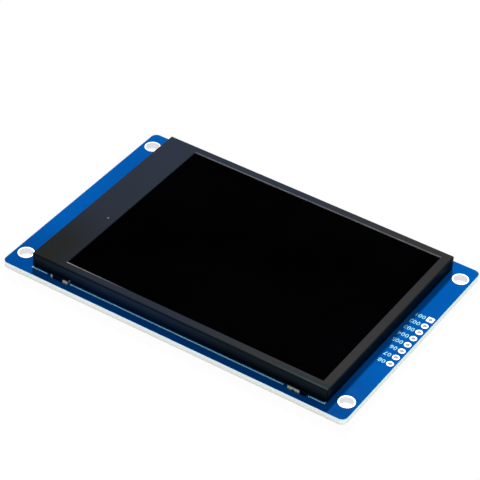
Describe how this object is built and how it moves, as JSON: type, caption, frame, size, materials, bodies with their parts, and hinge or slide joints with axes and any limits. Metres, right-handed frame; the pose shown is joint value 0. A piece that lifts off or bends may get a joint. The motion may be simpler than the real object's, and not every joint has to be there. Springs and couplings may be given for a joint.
{
  "type": "tft display module",
  "caption": "Colour liquid crystal display in a folded black steel bezel, standing on a blue printed board with corner mounting holes and a row of plated header holes.",
  "frame": {"origin": "centre of the four mounting holes, on the back face of the board's laminate", "axes": "+X along the board from the driver chip's end to the header row's end, +Y across the board towards the header's first, square pad, +Z square to the board, out of the display"},
  "size_m": [0.0904, 0.0603, 0.0063],
  "materials": {
    "laminate": "woven glass and epoxy, sawn at the edge",
    "solder_mask": "glossy blue ink",
    "legend_ink": "printed white ink",
    "tinned_copper": "levelled tin over copper",
    "epoxy_package": "moulded black epoxy with tinned leads",
    "capacitor_ceramic": "fired tan ceramic with tinned ends",
    "resistor_body": "black glaze with tinned ends",
    "foam_tape": "closed-cell black foam",
    "white_moulding": "satin white polycarbonate",
    "reflector_film": "mirror-white film",
    "light_guide_acrylic": "clear acrylic with fine dots underneath",
    "optical_film": "milky film",
    "flexible_circuit": "amber polyimide over copper",
    "led_housing": "white housing with a yellow phosphor face",
    "rim_tape": "black double-sided tape",
    "polarizer": "smooth black film",
    "panel_glass": "thin clear glass",
    "silicon": "ground silicon",
    "black_steel": "thin steel with a fine black finish, bare at the window's cut edge"
  },
  "bodies": {
    "root": {"board": "laminate", "front_mask": "solder_mask", "back_mask": "solder_mask", "front_legend": "legend_ink", "back_legend": "legend_ink", "header_pads": "tinned_copper", "mounting_rings": "tinned_copper", "tail_pads": "tinned_copper", "solder_joints": "tinned_copper", "voltage_regulator": "epoxy_package", "backlight_transistor": "epoxy_package", "input_capacitor": "capacitor_ceramic", "output_capacitor": "capacitor_ceramic", "supply_capacitor": "capacitor_ceramic", "backlight_resistor": "resistor_body", "base_resistor": "resistor_body", "reset_resistor": "resistor_body", "driver_end_tape": "foam_tape", "header_end_tape": "foam_tape", "moulded_frame": "white_moulding", "reflector": "reflector_film", "light_guide": "light_guide_acrylic", "diffuser": "optical_film", "lower_prism_sheet": "optical_film", "upper_prism_sheet": "optical_film", "led_strip": "flexible_circuit", "led_1": "led_housing", "led_2": "led_housing", "led_3": "led_housing", "led_4": "led_housing", "led_5": "led_housing", "led_6": "led_housing", "rim_tape": "rim_tape", "rear_polarizer": "polarizer", "array_glass": "panel_glass", "filter_glass": "panel_glass", "front_polarizer": "polarizer", "driver_chip": "silicon", "flex": "flexible_circuit", "bezel": "black_steel"}
  },
  "joints": []
}
